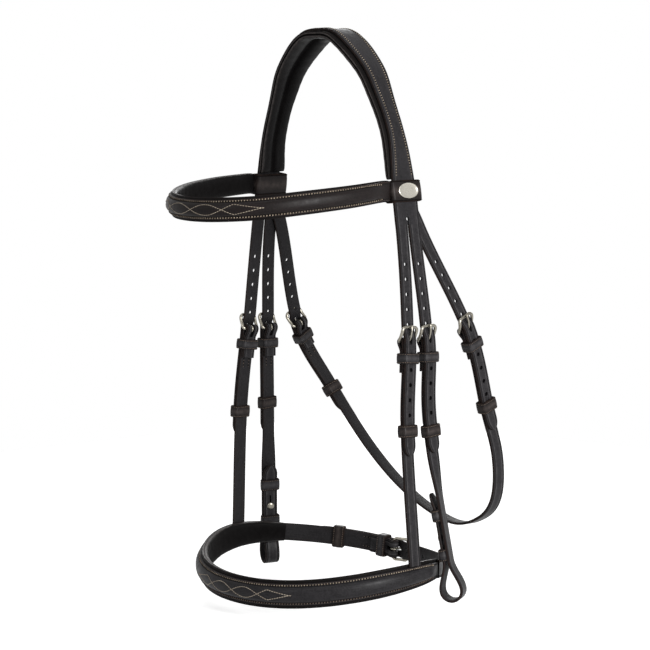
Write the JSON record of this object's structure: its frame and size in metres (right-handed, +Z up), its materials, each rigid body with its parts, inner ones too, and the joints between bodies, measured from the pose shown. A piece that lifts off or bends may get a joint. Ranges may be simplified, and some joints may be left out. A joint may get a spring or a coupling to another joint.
{
  "type": "cavesson bridle",
  "caption": "Padded English bridle with a cavesson noseband: headpiece, browband, buckled cheekpieces that end in bit loops, and throatlatch.",
  "frame": {"origin": "middle of the crown padding's underside, where the headpiece rests on the poll", "axes": "+X to the horse's left (near) side, +Y to its back, away from the browband, +Z up; the bridle hangs as it is worn"},
  "size_m": [0.2414, 0.2542, 0.4619],
  "materials": {
    "dark_leather": "semi-matt, very dark brown",
    "brown_leather": "semi-matt, dark brown",
    "soft_lining": "soft, matt",
    "brushed_steel": "satin, slightly warm"
  },
  "bodies": {
    "headpiece": {"headpiece_strap": "dark_leather", "crown_padding": "soft_lining", "throat_tab_left": "dark_leather", "throat_tab_right": "dark_leather"},
    "browband": {"browband_padding": "soft_lining", "browband_front": "brown_leather", "browband_loop_left": "brown_leather", "browband_loop_right": "brown_leather", "badge_plate": "brushed_steel"},
    "noseband": {"nose_billet_left": "dark_leather", "nose_billet_right": "dark_leather", "nose_hanger_left": "dark_leather", "nose_hanger_right": "dark_leather", "nose_left_fixed_keeper": "dark_leather", "nose_right_fixed_keeper": "dark_leather", "noseband_padding": "soft_lining", "noseband_front": "dark_leather", "noseband_rear_strap": "dark_leather", "noseband_rear_billet": "dark_leather", "noseband_rear_fixed_keeper": "dark_leather"},
    "throatlatch": {"throat_billet_left": "dark_leather", "throat_billet_right": "dark_leather", "throatlatch_strap": "dark_leather", "throat_left_fixed_keeper": "dark_leather", "throat_right_fixed_keeper": "dark_leather"},
    "cheek_left": {"cheek_billet_left": "dark_leather", "cheekpiece_left": "dark_leather", "cheek_left_fixed_keeper": "dark_leather", "hook_keeper_upper_left": "dark_leather", "hook_keeper_lower_left": "dark_leather", "hook_stud_left": "brushed_steel"},
    "cheek_right": {"cheek_billet_right": "dark_leather", "cheekpiece_right": "dark_leather", "cheek_right_fixed_keeper": "dark_leather", "hook_keeper_upper_right": "dark_leather", "hook_keeper_lower_right": "dark_leather", "hook_stud_right": "brushed_steel"},
    "nose_left_frame": {"nose_buckle_left_frame": "brushed_steel"},
    "nose_left_tongue": {"nose_buckle_left_tongue": "brushed_steel"},
    "nose_left_keeper": {"nose_left_loop_keeper": "dark_leather"},
    "nose_right_frame": {"nose_buckle_right_frame": "brushed_steel"},
    "nose_right_tongue": {"nose_buckle_right_tongue": "brushed_steel"},
    "nose_right_keeper": {"nose_right_loop_keeper": "dark_leather"},
    "cheek_left_frame": {"cheek_buckle_left_frame": "brushed_steel"},
    "cheek_left_tongue": {"cheek_buckle_left_tongue": "brushed_steel"},
    "cheek_left_keeper": {"cheek_left_loop_keeper": "dark_leather"},
    "cheek_right_frame": {"cheek_buckle_right_frame": "brushed_steel"},
    "cheek_right_tongue": {"cheek_buckle_right_tongue": "brushed_steel"},
    "cheek_right_keeper": {"cheek_right_loop_keeper": "dark_leather"},
    "throat_left_frame": {"throat_buckle_left_frame": "brushed_steel"},
    "throat_left_tongue": {"throat_buckle_left_tongue": "brushed_steel"},
    "throat_left_keeper": {"throat_left_loop_keeper": "dark_leather"},
    "throat_right_frame": {"throat_buckle_right_frame": "brushed_steel"},
    "throat_right_tongue": {"throat_buckle_right_tongue": "brushed_steel"},
    "throat_right_keeper": {"throat_right_loop_keeper": "dark_leather"},
    "rear_frame": {"noseband_rear_buckle_frame": "brushed_steel"},
    "rear_tongue": {"noseband_rear_buckle_tongue": "brushed_steel"},
    "rear_keeper": {"noseband_rear_loop_keeper": "dark_leather"}
  },
  "joints": [
    {"name": "browband_tilt", "type": "hinge", "parent": "headpiece", "child": "browband", "pos_m": [0, 0.0055, -0.1206], "axis": [1, 0, 0], "range_deg": [-4, 4]},
    {"name": "noseband_swing", "type": "hinge", "parent": "headpiece", "child": "noseband", "pos_m": [0, -0.0079, -0.14898], "axis": [-1, 0, 0], "range_deg": [0, 12]},
    {"name": "cheek_left_swing", "type": "hinge", "parent": "headpiece", "child": "cheek_left", "pos_m": [0.08539, 0.01255, -0.14884], "axis": [0, -1, 0], "range_deg": [0, 35]},
    {"name": "cheek_right_swing", "type": "hinge", "parent": "headpiece", "child": "cheek_right", "pos_m": [-0.08539, 0.01255, -0.14884], "axis": [0, 1, 0], "range_deg": [0, 35]},
    {"name": "throatlatch_swing", "type": "hinge", "parent": "headpiece", "child": "throatlatch", "pos_m": [0, 0.02631, -0.14647], "axis": [1, 0, 0], "range_deg": [0, 25]},
    {"name": "nose_left_frame_tilt", "type": "hinge", "parent": "noseband", "child": "nose_left_frame", "pos_m": [0.09161, -0.0039, -0.24172], "axis": [0.004, 0.9989, -0.0477], "range_deg": [0, 5]},
    {"name": "nose_left_tongue_tilt", "type": "hinge", "parent": "nose_left_frame", "child": "nose_left_tongue", "pos_m": [0.09161, -0.0039, -0.24172], "axis": [0.004, 0.9989, -0.0477], "range_deg": [0, 6]},
    {"name": "nose_left_keeper_slide", "type": "slide", "parent": "noseband", "child": "nose_left_keeper", "axis": [0.0599, -0.0147, -0.9981], "range_m": [-0.006, 0.006]},
    {"name": "nose_right_frame_tilt", "type": "hinge", "parent": "noseband", "child": "nose_right_frame", "pos_m": [-0.09161, -0.0039, -0.24172], "axis": [0.004, -0.9989, 0.0477], "range_deg": [0, 5]},
    {"name": "nose_right_tongue_tilt", "type": "hinge", "parent": "nose_right_frame", "child": "nose_right_tongue", "pos_m": [-0.09161, -0.0039, -0.24172], "axis": [0.004, -0.9989, 0.0477], "range_deg": [0, 6]},
    {"name": "nose_right_keeper_slide", "type": "slide", "parent": "noseband", "child": "nose_right_keeper", "axis": [-0.0633, -0.0155, -0.9979], "range_m": [-0.006, 0.006]},
    {"name": "cheek_left_frame_tilt", "type": "hinge", "parent": "cheek_left", "child": "cheek_left_frame", "pos_m": [0.09161, 0.0183, -0.24167], "axis": [-0.0029, 0.999, 0.0436], "range_deg": [0, 5]},
    {"name": "cheek_left_tongue_tilt", "type": "hinge", "parent": "cheek_left_frame", "child": "cheek_left_tongue", "pos_m": [0.09161, 0.0183, -0.24167], "axis": [-0.0029, 0.999, 0.0436], "range_deg": [0, 6]},
    {"name": "cheek_left_keeper_slide", "type": "slide", "parent": "cheek_left", "child": "cheek_left_keeper", "axis": [0.0861, 0.0831, -0.9928], "range_m": [-0.005, 0.005]},
    {"name": "cheek_right_frame_tilt", "type": "hinge", "parent": "cheek_right", "child": "cheek_right_frame", "pos_m": [-0.09161, 0.0183, -0.24167], "axis": [-0.0029, -0.999, -0.0436], "range_deg": [0, 5]},
    {"name": "cheek_right_tongue_tilt", "type": "hinge", "parent": "cheek_right_frame", "child": "cheek_right_tongue", "pos_m": [-0.09161, 0.0183, -0.24167], "axis": [-0.0029, -0.999, -0.0436], "range_deg": [0, 6]},
    {"name": "cheek_right_keeper_slide", "type": "slide", "parent": "cheek_right", "child": "cheek_right_keeper", "axis": [-0.069, 0.0692, -0.9952], "range_m": [-0.005, 0.005]},
    {"name": "throat_left_frame_tilt", "type": "hinge", "parent": "throatlatch", "child": "throat_left_frame", "pos_m": [0.09741, 0.0591, -0.23486], "axis": [-0.0399, 0.9197, 0.3907], "range_deg": [0, 5]},
    {"name": "throat_left_tongue_tilt", "type": "hinge", "parent": "throat_left_frame", "child": "throat_left_tongue", "pos_m": [0.09741, 0.0591, -0.23486], "axis": [-0.0399, 0.9197, 0.3907], "range_deg": [0, 6]},
    {"name": "throat_left_keeper_slide", "type": "slide", "parent": "throatlatch", "child": "throat_left_keeper", "axis": [-0.0256, 0.3334, -0.9425], "range_m": [-0.004, 0.004]},
    {"name": "throat_right_frame_tilt", "type": "hinge", "parent": "throatlatch", "child": "throat_right_frame", "pos_m": [-0.09741, 0.0591, -0.24018], "axis": [-0.031, -0.8995, -0.4358], "range_deg": [0, 5]},
    {"name": "throat_right_tongue_tilt", "type": "hinge", "parent": "throat_right_frame", "child": "throat_right_tongue", "pos_m": [-0.09741, 0.0591, -0.24018], "axis": [-0.031, -0.8995, -0.4358], "range_deg": [0, 6]},
    {"name": "throat_right_keeper_slide", "type": "slide", "parent": "throatlatch", "child": "throat_right_keeper", "axis": [0.4387, 0.2828, -0.853], "range_m": [-0.0015, 0.0015]},
    {"name": "rear_frame_tilt", "type": "hinge", "parent": "noseband", "child": "rear_frame", "pos_m": [-0.00627, 0.08313, -0.42995], "axis": [0.0871, 0.0048, 0.9962], "range_deg": [0, 5]},
    {"name": "rear_tongue_tilt", "type": "hinge", "parent": "rear_frame", "child": "rear_tongue", "pos_m": [-0.00627, 0.08313, -0.42995], "axis": [0.0871, 0.0048, 0.9962], "range_deg": [0, 6]},
    {"name": "rear_keeper_slide", "type": "slide", "parent": "noseband", "child": "rear_keeper", "axis": [-0.8441, -0.5278, 0.095], "range_m": [-0.004, 0.004]}
  ]
}
